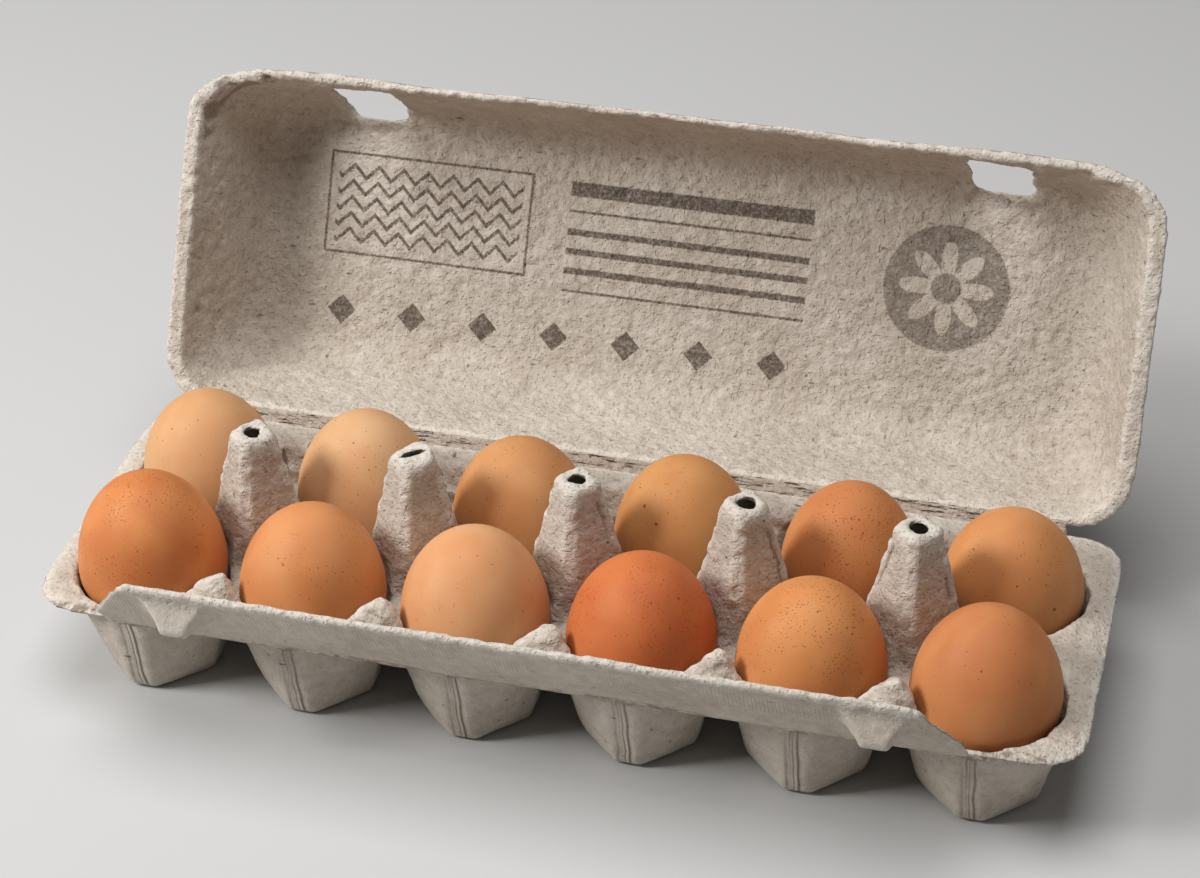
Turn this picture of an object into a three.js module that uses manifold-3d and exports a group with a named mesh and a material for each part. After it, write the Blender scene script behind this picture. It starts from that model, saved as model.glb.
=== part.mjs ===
// Open moulded-pulp egg carton with twelve eggs, a hinged lid and a hinged locking flap.
// Millimetres, +Z up. X runs along the carton, the lid hangs on the +Y side and the
// flap stands on the -Y side. The origin is under the middle of the open carton's box.
import * as THREE from 'three';
import { mergeVertices } from 'three/addons/utils/BufferGeometryUtils.js';
import Module from 'manifold-3d';

const wasm = await Module();
wasm.setup();

// Driving dimensions.
const COLUMNS = 6;
const PITCH = 47.6;
const ROW = 23.4;
const PULP = 1.5;

// The tray's rim: a plate round the cells that slopes down to its outer edge.
const RIM = { halfX: 148.2, front: -47.2, back: 53.8, corner: 13, edgeZ: 30.9, topZ: 32.3, slope: 4 };
// The low ridges between neighbouring cells, inside the rim.
const RIDGE = { halfX: 128, halfY: 30, topZ: 27.5 };
// A cell is an eight-sided foot that turns round on its way up: its faces towards X and Y
// are narrow, its faces towards the diagonals wide. Each level gives the height, the
// distance of the narrow and of the wide faces, and how round the section is.
const CELL = { radius: 22.3, open: 60 };
const CELL_LEVELS = [
  { z: 0, narrow: 16.2, wide: 13.9, round: 0 },
  { z: 3, narrow: 17.3, wide: 15.4, round: 0.05 },
  { z: 15, narrow: 20.3, wide: 19.2, round: 0.35 },
  { z: 24, narrow: 22.5, wide: 22.2, round: 0.9 },
  { z: 31, narrow: CELL.radius + PULP, wide: CELL.radius + PULP, round: 1 },
];
// The hollow posts between four eggs, with a pierced top.
const POST = { topZ: 66.2, footZ: 18, hole: 1.8 };
const POST_LEVELS = [
  { z: POST.footZ, narrow: 20, wide: 16.5, round: 0 },
  { z: 32, narrow: 15.3, wide: 12.2, round: 0 },
  { z: 56, narrow: 9, wide: 7, round: 0.1 },
  { z: 65, narrow: 6.4, wide: 5.6, round: 0.5 },
  { z: POST.topZ, narrow: 5.2, wide: 4.8, round: 1 },
];
// The low peaks between two eggs at the front and at the back. A small bevel runs round
// the tip: it starts a little lower and further out.
const PEAK = { y: 37.4, topZ: 43.6, footZ: 18, footX: 16, footY: 11, tipX: 2.8, tipY: 2, sides: 10 };
const PEAK_BEVEL = { x: 2.2, y: 1.6, drop: 2.2 };
// A hollow starts this far below the post or peak it is cut out of.
const HOLLOW_DROP = 2;

const EGG = { radius: 21.5, up: 28.3, down: 27.6, centreZ: 30.9, taper: 0.12 };
// The eggs differ a little: width and height as shares of the common egg, how far each one
// sits along X and up from its cell's middle, and its lean about X and Y in degrees.
// Front row first, each row from -X to +X.
const EGG_SHAPES = [
  [1.015, 1.04, 0, 1.8, 1, -2], [0.995, 0.99, 0, 0, 0, 1], [1.005, 0.985, 0.1, 0.3, -1, 0],
  [1.005, 0.98, 0.1, 0.3, 1, 1.5], [1.0, 0.98, 0.1, 0, 0, -1], [0.99, 0.97, 0, 0, -1.5, 1],
  [0.97, 0.99, 0, 0, 1, -2], [0.975, 0.99, 0.2, 0.2, -1, 2], [0.97, 0.95, 0.3, -0.3, 1, 0],
  [0.965, 0.98, 0.6, 0.2, -1, 2], [0.93, 0.97, 1.2, 0, 0, 3], [0.965, 0.94, 0.7, -0.5, 2, -4],
];

// The lid, as it lies when closed: w runs from the hinge to the front, h runs up. Its front
// line bows out by the crown from the corners to the middle.
const HINGE = { y: 53.875, z: 32.325, openDeg: 118 };
// The lid's edge plane lies above the hinge line and its w and h are counted from there.
const LID_SET = { w: 0.625, h: 0.375 };
const LID_PULP = 1.3;
const LID_EDGE = { thick: 1.6, halfX: 148.4, back: 0.5, front: 105.4, corner: 16, crown: 3.4 };
// Outside of the lid's walls, from the edge up to the ceiling.
const LID_LEVELS = [
  { h: 0, halfX: 145.2, back: 0.6, front: 105.5, corner: 15, crown: 3.4 },
  { h: 26, halfX: 136.6, back: 9.8, front: 99.2, corner: 17, crown: 2.4 },
  { h: 32.5, halfX: 132.8, back: 13.6, front: 96.4, corner: 17, crown: 1.6 },
  { h: 36.5, halfX: 125.5, back: 20.5, front: 90, corner: 14, crown: 1 },
];
const CROWN_X = [-90, -45, 0, 45, 90];
// The lid's front edge is cut back over the flap, so the lid closes with the flap standing:
// X and h along the edge, most in the middle, where the front bows out.
const RECESS_LINE = [[-140, 0], [-124, 1.3], [-80, 2.3], [0, 3.05], [80, 2.3], [124, 1.3], [140, 0]];
// Low down inside, the bowed front wall is flattened where the standing flap leans on it:
// w and h of the flat, over this much of X.
const SEAT_LINE = [[102.1, -5], [101.86, 3.1], [97.6, 14.1]];
const SEAT_HALF_X = 125.5;
// Both cuts start this far out from the hinge.
const FRONT_CUT = 97;
// Two windows in the lid's front wall take the flap's two hooks.
const WINDOW = { low: 9, high: 34, w: 92, reach: 14 };
const WINDOWS = [{ x: -97, width: 15.8 }, { x: 97.2, width: 17.6 }];

// The flap stands on a crease along the rim's front edge and leans outwards, its root more.
const FLAP = { y: -48.1, z: 30.6, leanDeg: 28, height: 28.4, thick: 1.2, root: 5, rootDeg: 17 };
// The flap's outline, as X and the height on the flap: its -X end has straight edges, its
// +X end a bulge low down and a rounded upper corner.
const FLAP_LOW_END = [[-110, 28.4], [-115, 24.4], [-124, 9], [-120, 2]];
const FLAP_HIGH_END = {
  x: 118.6, bulge: [119.6, 9], waist: [115.6, 14], corner: [108, 24.4], top: [99, 28.4],
};
const HOOK = { foot: 14.6, tip: 7.5, reach: 8.6, low: 14.5, tipLow: 19, tipHigh: 21.5, high: 26.5, wall: 1 };
const HOOKS_X = [-97, 95.3];

// The open carton's middle in Y, taken to the origin.
const MIDDLE_Y = 30.95;
// How far a cutting block runs past the part it trims.
const PAST = 5;

const PULP_COLOUR = 0xb9b0a5;
const EGG_COLOURS = [
  0xc0703c, 0xd08a58, 0xdc9f70, 0xb9603a, 0xcc8850, 0xc87e50,
  0xdba474, 0xdfae80, 0xcf9058, 0xd2a060, 0xc68046, 0xd39a66,
];

const degrees = (angle) => (angle * Math.PI) / 180;
const mix = (a, b, share) => a + (b - a) * share;

// A closed geometry as a solid, and a solid back as a geometry.
function solidOf(geometry) {
  const bare = geometry.index ? geometry.toNonIndexed() : geometry.clone();
  bare.deleteAttribute('normal');
  bare.deleteAttribute('uv');
  const merged = mergeVertices(bare, 1e-4);
  const vertProperties = new Float32Array(merged.attributes.position.array);
  const triVerts = new Uint32Array(merged.index.array);
  return new wasm.Manifold(new wasm.Mesh({ numProp: 3, vertProperties, triVerts }));
}

function geometryOf(solid) {
  const mesh = solid.getMesh();
  const geometry = new THREE.BufferGeometry();
  geometry.setAttribute('position', new THREE.BufferAttribute(new Float32Array(mesh.vertProperties), 3));
  geometry.setIndex(new THREE.BufferAttribute(new Uint32Array(mesh.triVerts), 1));
  return geometry;
}

const join = (solids) => solids.reduce((sum, next) => sum.add(next));
const cut = (solid, tools) => tools.reduce((rest, tool) => rest.subtract(tool), solid);

function middleOf(sides, level, pointAt) {
  const middle = new THREE.Vector3();
  for (let side = 0; side < sides; side += 1) middle.add(pointAt(side, level));
  return middle.divideScalar(sides);
}

// A solid skinned over rings: a cylinder whose ring points are put where pointAt says.
// pointAt(side, level) returns a Vector3; the end caps close on the rings' middles.
function loft(sides, levels, pointAt) {
  const geometry = new THREE.CylinderGeometry(1, 1, levels - 1, sides, levels - 1);
  const position = geometry.attributes.position;
  for (let i = 0; i < position.count; i += 1) {
    const x = position.getX(i);
    const z = position.getZ(i);
    const level = Math.round(position.getY(i) + (levels - 1) / 2);
    const onAxis = Math.hypot(x, z) < 0.5;
    const turn = Math.atan2(x, z) / (2 * Math.PI);
    const side = (Math.round(turn * sides) + sides) % sides;
    const point = onAxis ? middleOf(sides, level, pointAt) : pointAt(side, level);
    position.setXYZ(i, point.x, point.y, point.z);
  }
  return solidOf(geometry);
}

function box(low, high) {
  const size = new THREE.Vector3().subVectors(high, low);
  const geometry = new THREE.BoxGeometry(size.x, size.y, size.z);
  geometry.translate(...new THREE.Vector3().addVectors(low, high).multiplyScalar(0.5).toArray());
  return solidOf(geometry);
}

// The side angles of an eight-sided section, closer together where its corners lie.
const SECTION_TURNS = [12, 36, 54, 78];
const SECTION_SIDES = 4 * SECTION_TURNS.length;

function sectionAngle(side) {
  const quarter = Math.floor(side / SECTION_TURNS.length);
  return degrees(90 * quarter + SECTION_TURNS[side % SECTION_TURNS.length]);
}

// The distance from the axis to an eight-sided section, rounded off by its share.
function sectionRadius(angle, level) {
  const toNarrow = Math.max(Math.abs(Math.cos(angle)), Math.abs(Math.sin(angle)));
  const toWide = (Math.abs(Math.cos(angle)) + Math.abs(Math.sin(angle))) * Math.SQRT1_2;
  const faceted = Math.min(level.narrow / toNarrow, level.wide / toWide);
  return mix(faceted, (level.narrow + level.wide) / 2, level.round);
}

function sectionLoft(levels) {
  return loft(SECTION_SIDES, levels.length, (side, index) => {
    const angle = sectionAngle(side);
    const radius = sectionRadius(angle, levels[index]);
    return new THREE.Vector3(radius * Math.cos(angle), radius * Math.sin(angle), levels[index].z);
  });
}

const grown = (levels, by) => levels.map((level) => (
  { ...level, narrow: level.narrow + by, wide: level.wide + by }));

// A cell's space: its outside, or its inside one wall thickness in and up.
function cellSpace(inside) {
  const levels = grown(CELL_LEVELS, inside ? -PULP : 0);
  levels[0].z += inside ? PULP : 0;
  const last = levels[levels.length - 1];
  return sectionLoft([...levels, { ...last, z: CELL.open }]);
}

// A post, or the hollow one wall thickness inside it.
function post(hollow) {
  const levels = grown(POST_LEVELS, hollow ? -PULP : 0);
  levels[levels.length - 1].z -= hollow ? PULP : 0;
  levels[0].z -= hollow ? HOLLOW_DROP : 0;
  return sectionLoft(levels);
}

// A peak, or the hollow under it. The foot is an ellipse and the tip a small one.
function peak(hollow) {
  const thin = hollow ? PULP : 0;
  const bevel = { x: PEAK.tipX + PEAK_BEVEL.x, y: PEAK.tipY + PEAK_BEVEL.y, z: PEAK.topZ - PEAK_BEVEL.drop };
  const rings = [
    { x: PEAK.footX - thin, y: PEAK.footY - thin, z: PEAK.footZ - (hollow ? HOLLOW_DROP : 0) },
    { x: bevel.x - thin, y: bevel.y - thin, z: bevel.z - thin },
    { x: PEAK.tipX - thin / 2, y: PEAK.tipY - thin / 2, z: PEAK.topZ - thin },
  ];
  return loft(PEAK.sides, rings.length, (side, index) => {
    const angle = (2 * Math.PI * side) / PEAK.sides;
    const ring = rings[index];
    return new THREE.Vector3(ring.x * Math.cos(angle), ring.y * Math.sin(angle), ring.z);
  });
}

// A rounded rectangle's point: CORNER_POINTS on each corner, straight sides between them.
const CORNER_POINTS = 5;
function roundedPoint(side, halfX, low, high, radius, z) {
  const corner = Math.floor(side / CORNER_POINTS);
  const share = (side % CORNER_POINTS) / (CORNER_POINTS - 1);
  const angle = degrees(90 * (corner + share));
  const x = (corner === 0 || corner === 3 ? 1 : -1) * (halfX - radius) + radius * Math.cos(angle);
  const y = (corner < 2 ? high - radius : low + radius) + radius * Math.sin(angle);
  return new THREE.Vector3(x, y, z);
}

// The block that the tray's upper or lower skin bounds, up to the rim.
function rimBlock(rings) {
  return loft(4 * CORNER_POINTS, rings.length, (side, index) => {
    const { z, out } = rings[index];
    return roundedPoint(
      side, RIM.halfX + out, RIM.front - out, RIM.back + out, RIM.corner + out, z);
  });
}

const columnX = (index, count) => (index - (count - 1) / 2) * PITCH;

// Everything under one skin of the tray: the rim block, the ridges, the posts and peaks.
function trayBlock(under) {
  const drop = under ? PULP : 0;
  const out = under ? PAST : 0;
  const lean = (RIM.topZ - RIM.edgeZ) / RIM.slope;
  const block = rimBlock([
    { z: -PAST - out, out },
    { z: RIM.edgeZ - drop - out * lean, out },
    { z: RIM.topZ - drop, out: -RIM.slope },
  ]);
  const ridges = box(
    new THREE.Vector3(-RIDGE.halfX - drop, -RIDGE.halfY - drop, RIDGE.topZ - drop),
    new THREE.Vector3(RIDGE.halfX + drop, RIDGE.halfY + drop, CELL.open));
  const raised = [];
  for (let i = 0; i < COLUMNS - 1; i += 1) {
    const x = columnX(i, COLUMNS - 1);
    raised.push(post(under).translate([x, 0, 0]));
    raised.push(peak(under).translate([x, -PEAK.y, 0]));
    raised.push(peak(under).translate([x, PEAK.y, 0]));
  }
  return join([block.subtract(ridges), ...raised]);
}

function cells(inside) {
  const spaces = [];
  for (let i = 0; i < COLUMNS; i += 1) {
    for (const y of [-ROW, ROW]) {
      spaces.push(cellSpace(inside).translate([columnX(i, COLUMNS), y, 0]));
    }
  }
  return spaces;
}

function tray() {
  const upper = cut(trayBlock(false), cells(true));
  const lower = cut(trayBlock(true), cells(false));
  const holes = [];
  for (let i = 0; i < COLUMNS - 1; i += 1) {
    const hole = new THREE.CylinderGeometry(POST.hole, POST.hole, 8, 10);
    hole.rotateX(Math.PI / 2);
    hole.translate(columnX(i, COLUMNS - 1), 0, POST.topZ);
    holes.push(solidOf(hole));
  }
  return geometryOf(cut(upper.subtract(lower), holes));
}

// The lid in its closed place, with the hinge line as the X axis and the front at -Y.
function lidShell(levels) {
  const sides = 4 * CORNER_POINTS + CROWN_X.length;
  const firstFront = 3 * CORNER_POINTS;
  return loft(sides, levels.length, (side, index) => {
    const { h, halfX, back, front, corner, crown } = levels[index];
    const along = side - firstFront;
    if (along >= 0 && along < CROWN_X.length) {
      const x = CROWN_X[along];
      return new THREE.Vector3(x, crown * (x / halfX) ** 2 - front, h);
    }
    const cornerSide = along < 0 ? side : side - CROWN_X.length;
    return roundedPoint(cornerSide, halfX, crown - front, -back, corner, h);
  });
}

// A section in Y and Z, drawn out along X, half its length to each side.
function alongX(section, length) {
  const bar = new THREE.ExtrudeGeometry(section, { depth: length, bevelEnabled: false });
  bar.translate(0, 0, -length / 2);
  bar.applyMatrix4(new THREE.Matrix4().makeBasis(
    new THREE.Vector3(0, 1, 0), new THREE.Vector3(0, 0, 1), new THREE.Vector3(1, 0, 0)));
  return solidOf(bar);
}

function edgeRecess() {
  const line = RECESS_LINE.map(([x, h]) => new THREE.Vector2(x, h));
  const end = RECESS_LINE[0][0];
  const shape = new THREE.Shape([new THREE.Vector2(end, -PAST), ...line, new THREE.Vector2(-end, -PAST)]);
  const depth = LID_EDGE.front + PAST - FRONT_CUT;
  const block = new THREE.ExtrudeGeometry(shape, { depth, bevelEnabled: false });
  block.rotateX(Math.PI / 2);
  block.translate(0, -FRONT_CUT, 0);
  return solidOf(block);
}

function flapSeat() {
  const line = SEAT_LINE.map(([w, h]) => new THREE.Vector2(-w, h));
  const inner = [SEAT_LINE[2][1], SEAT_LINE[0][1]].map((h) => new THREE.Vector2(-FRONT_CUT, h));
  return alongX(new THREE.Shape([...line, ...inner]), 2 * SEAT_HALF_X);
}

function lid() {
  const outside = lidShell(LID_LEVELS);
  const inside = lidShell(LID_LEVELS.map((level, index) => ({
    h: index ? level.h - LID_PULP : -LID_PULP,
    halfX: level.halfX - LID_PULP,
    back: level.back + LID_PULP,
    front: level.front - LID_PULP,
    corner: level.corner - LID_PULP,
    crown: level.crown,
  })));
  const edge = lidShell([0, LID_EDGE.thick].map((h) => ({ ...LID_EDGE, h })));
  const windows = WINDOWS.map(({ x, width }) => box(
    new THREE.Vector3(x - width / 2, -WINDOW.w - WINDOW.reach, WINDOW.low),
    new THREE.Vector3(x + width / 2, -WINDOW.w, WINDOW.high)));
  const shell = cut(outside.add(edge), [inside, edgeRecess(), flapSeat(), ...windows]);
  return geometryOf(shell.translate([0, -LID_SET.w, LID_SET.h]));
}

// The flap upright, with its crease as the X axis and its outer face towards -Y: a strip
// of bent section, trimmed to the flap's outline.
const ROOT_Y = -FLAP.root * Math.sin(degrees(FLAP.rootDeg));

function flapStrip() {
  const half = FLAP.thick / 2;
  const tilt = degrees(FLAP.rootDeg);
  const bendZ = FLAP.root * Math.cos(tilt);
  const bendShift = half * Math.tan(tilt / 2);
  const section = new THREE.Shape();
  section.moveTo(half * Math.cos(tilt), half * Math.sin(tilt));
  section.lineTo(ROOT_Y + half, bendZ + bendShift);
  section.lineTo(ROOT_Y + half, FLAP.height);
  section.lineTo(ROOT_Y - half, FLAP.height);
  section.lineTo(ROOT_Y - half, bendZ - bendShift);
  section.lineTo(-half * Math.cos(tilt), -half * Math.sin(tilt));
  section.closePath();
  return alongX(section, 2 * (RIM.halfX - RIM.corner));
}

function flapOutline() {
  const end = FLAP_HIGH_END;
  const shape = new THREE.Shape();
  shape.moveTo(FLAP_LOW_END[3][0], -PAST);
  shape.lineTo(end.x, -PAST);
  shape.lineTo(end.x, 0);
  shape.quadraticCurveTo(...end.bulge, ...end.waist);
  shape.lineTo(...end.corner);
  shape.quadraticCurveTo(end.corner[0] - PAST, FLAP.height, ...end.top);
  for (const point of FLAP_LOW_END) shape.lineTo(...point);
  shape.closePath();
  const depth = 4 * PAST;
  const outline = new THREE.ExtrudeGeometry(shape, { depth, bevelEnabled: false, curveSegments: 4 });
  outline.translate(0, 0, -depth / 2);
  outline.rotateX(Math.PI / 2);
  return solidOf(outline);
}

// A hook is a wedge that swells out of the flap, with a short blunt tip turned down. Its
// hollow is the same wedge, thinner by the wall and open at the flap's inner face.
function hook(x, hollow) {
  const thin = hollow ? HOOK.wall : 0;
  const foot = HOOK.foot / 2 - thin;
  const tip = HOOK.tip / 2 - thin;
  const ring = (half, low, high) => [[half, low], [half, high], [-half, high], [-half, low]];
  const near = ring(foot, HOOK.low + thin, HOOK.high - thin);
  const far = ring(tip, HOOK.tipLow + thin, HOOK.tipHigh - thin);
  const nearY = ROOT_Y + (hollow ? FLAP.thick : 0);
  const farY = ROOT_Y - HOOK.reach + thin;
  return loft(4, 2, (side, level) => {
    const [dx, s] = (level ? far : near)[side];
    return new THREE.Vector3(x + dx, level ? farY : nearY, s);
  });
}

function flap() {
  const plate = flapStrip().intersect(flapOutline());
  const solid = join([plate, ...HOOKS_X.map((x) => hook(x, false))]);
  return geometryOf(cut(solid, HOOKS_X.map((x) => hook(x, true))));
}

// An egg: a lathe profile, blunt end up, whose lower half tapers.
function egg(index) {
  const [wide, high, , , leanX, leanY] = EGG_SHAPES[index];
  const steps = 9;
  const sides = 16;
  const profile = [];
  for (let i = 0; i <= steps; i += 1) {
    const angle = (Math.PI * i) / steps - Math.PI / 2;
    const down = Math.max(0, -Math.sin(angle));
    const radius = EGG.radius * wide * Math.cos(angle) * (1 - EGG.taper * down);
    const height = Math.sin(angle) * (angle > 0 ? EGG.up : EGG.down) * high;
    profile.push(new THREE.Vector2(i % steps ? radius : 0, height));
  }
  const geometry = new THREE.LatheGeometry(profile, sides, Math.PI / sides);
  geometry.rotateX(Math.PI / 2);
  geometry.rotateX(degrees(leanX));
  geometry.rotateY(degrees(leanY));
  return geometryOf(solidOf(geometry));
}

function piece(name, geometry, colour, roughness) {
  const material = new THREE.MeshStandardMaterial({ color: colour, roughness, metalness: 0 });
  const mesh = new THREE.Mesh(geometry, material);
  mesh.name = name;
  return mesh;
}

const carton = new THREE.Group();
carton.position.y = -MIDDLE_Y;

carton.add(piece('tray', tray(), PULP_COLOUR, 0.95));

const lidGroup = new THREE.Group();
lidGroup.position.set(0, HINGE.y, HINGE.z);
lidGroup.rotation.x = -degrees(HINGE.openDeg);
lidGroup.add(piece('lid', lid(), PULP_COLOUR, 0.95));
carton.add(lidGroup);

const flapGroup = new THREE.Group();
flapGroup.position.set(0, FLAP.y, FLAP.z);
flapGroup.rotation.x = degrees(FLAP.leanDeg);
flapGroup.add(piece('front_flap', flap(), PULP_COLOUR, 0.95));
carton.add(flapGroup);

for (let i = 0; i < 2 * COLUMNS; i += 1) {
  const number = String(i + 1).padStart(2, '0');
  const mesh = piece(`egg_${number}`, egg(i), EGG_COLOURS[i], 0.55);
  const [, , along, lift] = EGG_SHAPES[i];
  mesh.position.set(
    columnX(i % COLUMNS, COLUMNS) + along, i < COLUMNS ? -ROW : ROW, EGG.centreZ + lift);
  carton.add(mesh);
}

export default carton;
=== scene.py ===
# %% [markdown]
# # An open egg carton and its eggs
# The carton is one sheet of moulded paper pulp: a tray of cup-shaped cells, a lid and a
# narrow flap with two hooks. The solid model already has the right sizes and the joints.
# This lesson gives it the soft edges, the lumps and the fibres of real pulp, and the eggs
# their shells. Everything is in metres, in the solid model's own place.

# %% Load the solid model
import math

import bmesh
import bpy
import numpy as np
from mathutils import Matrix, Vector, noise


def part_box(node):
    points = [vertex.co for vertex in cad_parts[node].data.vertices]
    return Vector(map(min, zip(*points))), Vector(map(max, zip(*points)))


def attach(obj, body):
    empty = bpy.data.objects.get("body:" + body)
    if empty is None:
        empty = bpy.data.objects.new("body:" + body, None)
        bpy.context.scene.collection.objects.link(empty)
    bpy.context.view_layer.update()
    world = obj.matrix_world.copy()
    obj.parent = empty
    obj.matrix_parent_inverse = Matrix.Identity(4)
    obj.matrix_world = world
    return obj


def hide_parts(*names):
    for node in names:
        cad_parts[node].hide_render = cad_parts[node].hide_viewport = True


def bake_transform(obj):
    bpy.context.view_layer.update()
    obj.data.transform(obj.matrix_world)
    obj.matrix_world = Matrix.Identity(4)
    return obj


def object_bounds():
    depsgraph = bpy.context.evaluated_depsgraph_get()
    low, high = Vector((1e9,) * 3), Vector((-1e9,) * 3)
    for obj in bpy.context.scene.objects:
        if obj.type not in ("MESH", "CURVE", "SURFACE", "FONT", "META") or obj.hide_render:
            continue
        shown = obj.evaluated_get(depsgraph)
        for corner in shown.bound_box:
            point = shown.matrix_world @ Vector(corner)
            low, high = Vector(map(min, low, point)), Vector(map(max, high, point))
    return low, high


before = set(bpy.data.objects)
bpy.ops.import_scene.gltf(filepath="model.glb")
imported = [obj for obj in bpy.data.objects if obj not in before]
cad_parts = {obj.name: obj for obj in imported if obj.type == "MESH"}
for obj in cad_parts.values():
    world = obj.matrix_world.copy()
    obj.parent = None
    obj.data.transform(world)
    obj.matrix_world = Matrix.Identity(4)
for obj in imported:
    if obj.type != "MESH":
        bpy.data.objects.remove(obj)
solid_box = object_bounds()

MM = 0.001
scene = bpy.context.scene
print("solid model, mm:", [[round(v * 1000, 1) for v in corner] for corner in solid_box])

# %% [markdown]
# ## The camera
# The photograph was taken from in front, a little to the right and above, with a long lens.
# A camera is a place and a direction. Three unit vectors, the picture's right, its up and
# the way back towards the camera, are the columns of a turning matrix. Writing them out is
# clearer than three angles, because each can be checked by eye against the picture.

# %% Place the camera
view_data = bpy.data.cameras.new("view")
view_data.lens = 88.33
view_data.sensor_width = 36
view_data.clip_end = 20
view = bpy.data.objects.new("view", view_data)
scene.collection.objects.link(view)
picture_right = Vector((0.9674, 0.2530, -0.0130))
picture_up = Vector((-0.1355, 0.5601, 0.8173))
backwards = picture_right.cross(picture_up)
view.matrix_world = Matrix.Translation((0.1787, -0.66465, 0.5434)) @ Matrix(
    (picture_right, picture_up, backwards)).transposed().to_4x4()
scene.camera = view
scene.view_settings.view_transform = "Standard"
print("camera at", [round(v, 3) for v in view.matrix_world.translation])

# %% [markdown]
# ## Floor and light
# The carton stands on a plain pale floor. A broad lamp above it lights the tops, and shades
# the inside of the lid softly towards its edge. A smaller lamp low on the left throws the
# posts' shadows on the back eggs, because a small lamp's shadows are crisper. The pale world
# and the floor fill the shaded sides, with a weak lamp on the right.

# %% Build the studio
floor_form = bmesh.new()
bmesh.ops.create_grid(floor_form, x_segments=1, y_segments=1, size=4)
floor_mesh = bpy.data.meshes.new("floor")
floor_form.to_mesh(floor_mesh)
floor_form.free()
floor = bpy.data.objects.new("floor", floor_mesh)
scene.collection.objects.link(floor)
floor.location.z = -0.0004
floor_paint = bpy.data.materials.new("pale_floor")
floor_paint.use_nodes = True
floor_shader = floor_paint.node_tree.nodes["Principled BSDF"]
floor_shader.inputs["Base Color"].default_value = (0.54, 0.536, 0.53, 1)
floor_shader.inputs["Roughness"].default_value = 0.8
floor_mesh.materials.append(floor_paint)


def add_lamp(name, place, size, power):
    """A square soft lamp that looks at the carton."""
    data = bpy.data.lights.new(name, "AREA")
    data.size = size
    data.energy = power
    lamp = bpy.data.objects.new(name, data)
    lamp.location = place
    target = Vector((0, 0, 0.05))
    lamp.rotation_euler = (target - Vector(place)).to_track_quat("-Z", "Y").to_euler()
    scene.collection.objects.link(lamp)


add_lamp("top_lamp", (-0.08, 0.0, 1.32), 0.9, 12.0)
add_lamp("key_lamp", (-1.0, -0.54, 0.90), 0.42, 16.7)
add_lamp("side_lamp", (1.10, -0.35, 0.65), 0.7, 0.8)
sky = bpy.data.worlds.new("pale_sky")
scene.world = sky
sky.use_nodes = True
sky.node_tree.nodes["Background"].inputs["Color"].default_value = (1.0, 0.99, 0.98, 1)
sky.node_tree.nodes["Background"].inputs["Strength"].default_value = 0.07

# %% [markdown]
# ## Small tools for meshes
# Pulp has no sharp edge anywhere. A quick way from a hard solid to such a form is a voxel
# remesh: the solid is scanned on a fine grid and skinned again with even little squares.
# Smoothing then rounds the edges by about the size of one square, and even squares take
# fine lumps well. A decimate at the end brings the count down where the form is flat.

# %% Mesh tools
def new_object(name, form):
    """Turns a bmesh into an object at the origin and frees the bmesh."""
    mesh = bpy.data.meshes.new(name)
    form.to_mesh(mesh)
    form.free()
    obj = bpy.data.objects.new(name, mesh)
    scene.collection.objects.link(obj)
    return obj


def welded_copy(node, name):
    """A copy of a solid whose loose triangles are joined at their corners."""
    form = bmesh.new()
    form.from_mesh(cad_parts[node].data)
    bmesh.ops.remove_doubles(form, verts=form.verts, dist=1e-6)
    return new_object(name, form)


def apply_modifiers(obj):
    """Makes the object's modifiers part of its mesh."""
    bpy.context.view_layer.update()
    graph = bpy.context.evaluated_depsgraph_get()
    finished = bpy.data.meshes.new_from_object(obj.evaluated_get(graph))
    obj.modifiers.clear()
    obj.data = finished
    finished.name = obj.name


def even_skin(obj, square, rounds):
    """Remeshes with squares of that size in metres and smooths them."""
    remesh = obj.modifiers.new("skin", "REMESH")
    remesh.mode = "VOXEL"
    remesh.voxel_size = square
    smooth = obj.modifiers.new("soften", "SMOOTH")
    smooth.factor = 0.5
    smooth.iterations = rounds
    apply_modifiers(obj)


def thin_out(obj, triangles):
    """Brings a dense mesh down to about that many triangles."""
    now = sum(len(p.vertices) - 2 for p in obj.data.polygons)
    if now > triangles:
        decimate = obj.modifiers.new("thin", "DECIMATE")
        decimate.ratio = triangles / now
        apply_modifiers(obj)
    obj.data.shade_smooth()
    print(obj.name, "triangles:", now, "->", sum(len(p.vertices) - 2 for p in obj.data.polygons))


def points_and_normals(mesh):
    """The mesh's points in millimetres and their normals, as arrays."""
    points = np.empty(len(mesh.vertices) * 3)
    mesh.vertices.foreach_get("co", points)
    normals = np.empty(len(mesh.vertices) * 3)
    mesh.vertex_normals.foreach_get("vector", normals)
    return points.reshape(-1, 3) / MM, normals.reshape(-1, 3)


def set_points(mesh, points):
    """Writes points in millimetres back to the mesh."""
    mesh.vertices.foreach_set("co", (points * MM).ravel())
    mesh.update()


def store(mesh, name, values):
    """Keeps one number for each point, for the material to read."""
    layer = mesh.attributes.new(name, "FLOAT", "POINT")
    layer.data.foreach_set("value", np.asarray(values, np.float32))


def averaging(mesh):
    """A function that gives each point the mean of its neighbours' values."""
    ends = np.empty(len(mesh.edges) * 2, np.int64)
    mesh.edges.foreach_get("vertices", ends)
    a, b = ends.reshape(-1, 2).T
    size = len(mesh.vertices)
    count = np.maximum(np.bincount(a, minlength=size) + np.bincount(b, minlength=size), 1)

    def averaged(values):
        total = np.bincount(a, values[b], size) + np.bincount(b, values[a], size)
        return total / count

    return averaged


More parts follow.
